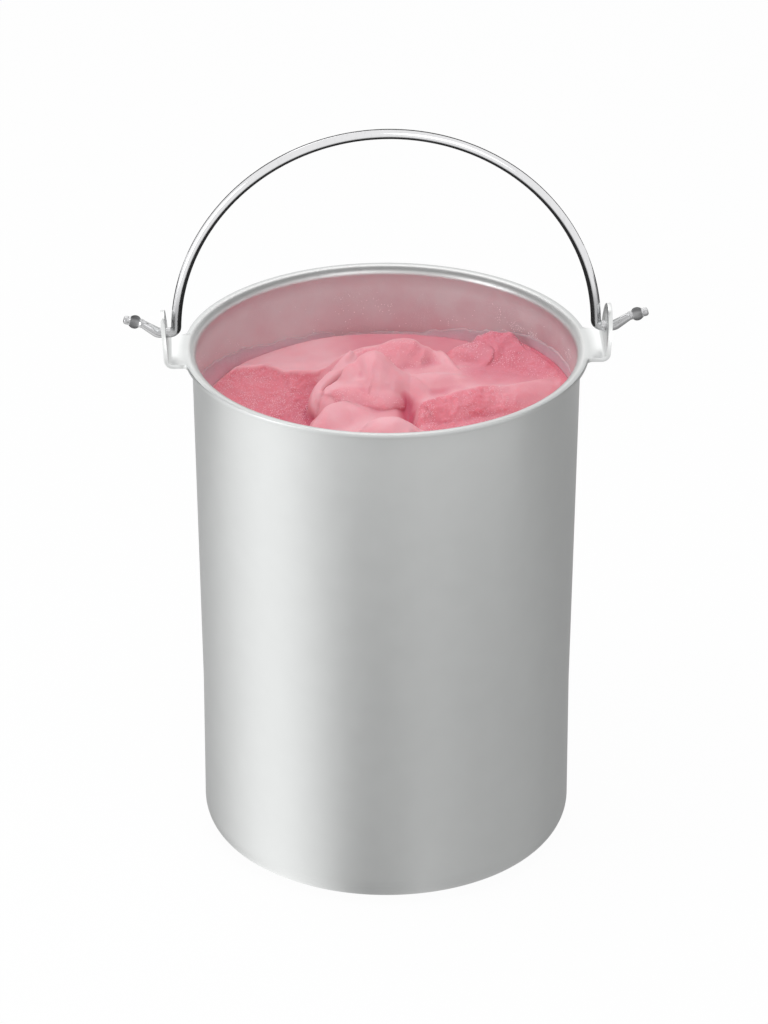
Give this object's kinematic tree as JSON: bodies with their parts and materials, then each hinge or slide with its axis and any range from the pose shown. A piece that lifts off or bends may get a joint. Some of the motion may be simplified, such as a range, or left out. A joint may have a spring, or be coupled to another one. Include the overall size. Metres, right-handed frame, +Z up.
{
  "type": "ice cream maker mixing bowl",
  "caption": "Tall drawn aluminium mixing bowl of an ice cream maker, with folded ears, a swinging wire bail and soft pink ice cream inside.",
  "frame": {"origin": "centre of the bowl's flat base", "axes": "+Z up through the mouth, +X through the holes of both ears along the bail's axis, -Y the front"},
  "size_m": [0.1904, 0.1472, 0.2807],
  "materials": {
    "drawn_aluminium": "satin, matt anodised",
    "bright_wire": "bright drawn stainless steel",
    "ice_cream": "soft, moist, smooth with icy grains"
  },
  "bodies": {
    "bowl": {"bowl": "drawn_aluminium", "ice_cream": "ice_cream"},
    "bail": {"bail": "bright_wire"}
  },
  "joints": [
    {"name": "bail_swing", "type": "hinge", "parent": "bowl", "child": "bail", "pos_m": [0, 0, 0.2023], "axis": [1, 0, 0], "range_deg": [-108.5, 108.5]}
  ]
}
